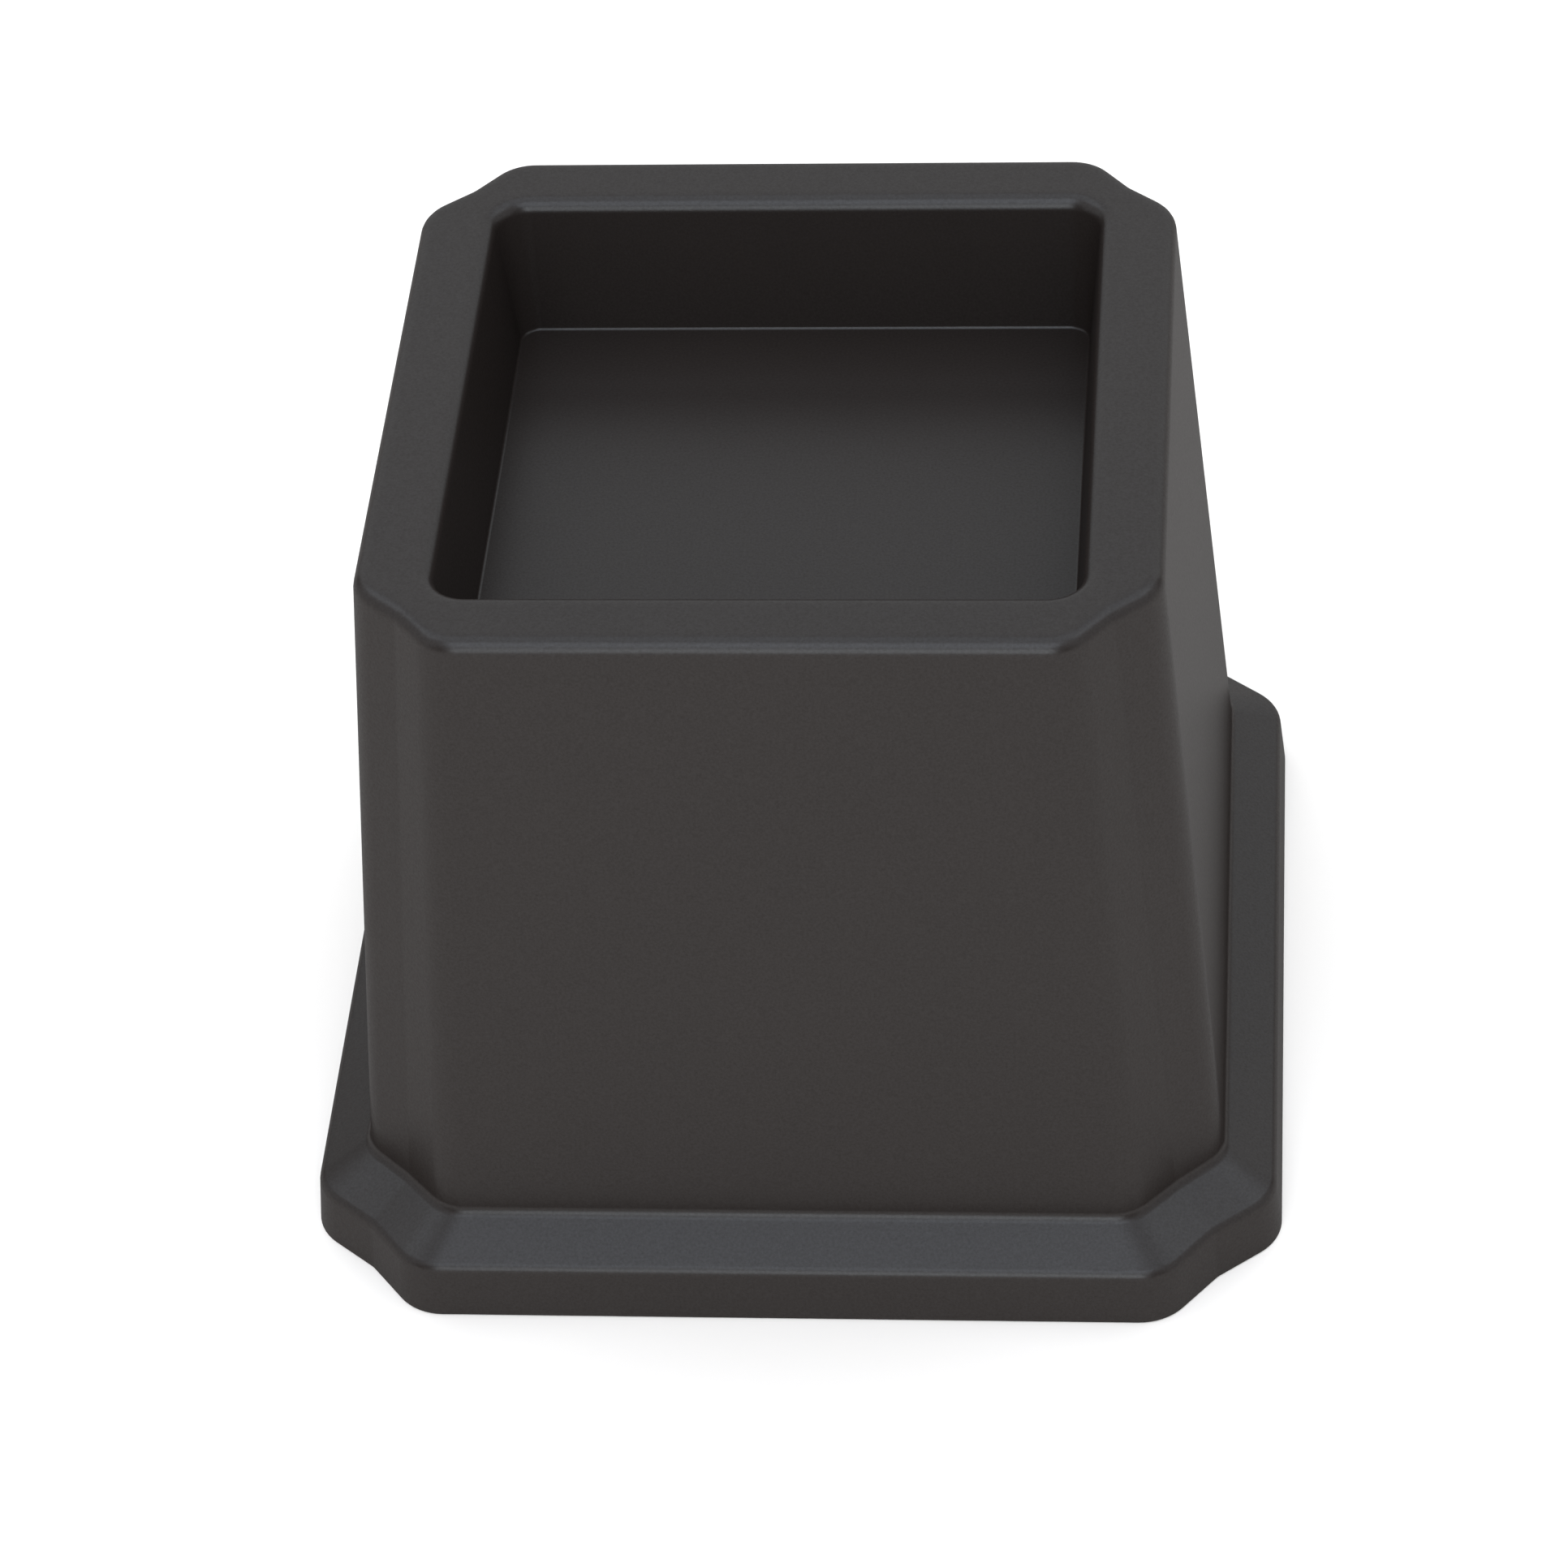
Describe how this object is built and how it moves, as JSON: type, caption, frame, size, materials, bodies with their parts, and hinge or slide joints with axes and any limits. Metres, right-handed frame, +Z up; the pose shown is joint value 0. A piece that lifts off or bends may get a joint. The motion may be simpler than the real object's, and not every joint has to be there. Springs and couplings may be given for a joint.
{
  "type": "bed riser",
  "caption": "Square plastic bed riser: tapered hollow block with chamfered corners, a flanged foot and a square leg pocket in its top, ribbed underneath.",
  "frame": {"origin": "middle of the base, on the ground that the riser stands on", "axes": "+Z up through the middle of the leg pocket; X and Y square to the flat sides"},
  "size_m": [0.1552, 0.1552, 0.1254],
  "materials": {
    "moulding": "matte charcoal moulded plastic with a very fine even grain"
  },
  "bodies": {
    "root": {"riser": "moulding"}
  },
  "joints": []
}
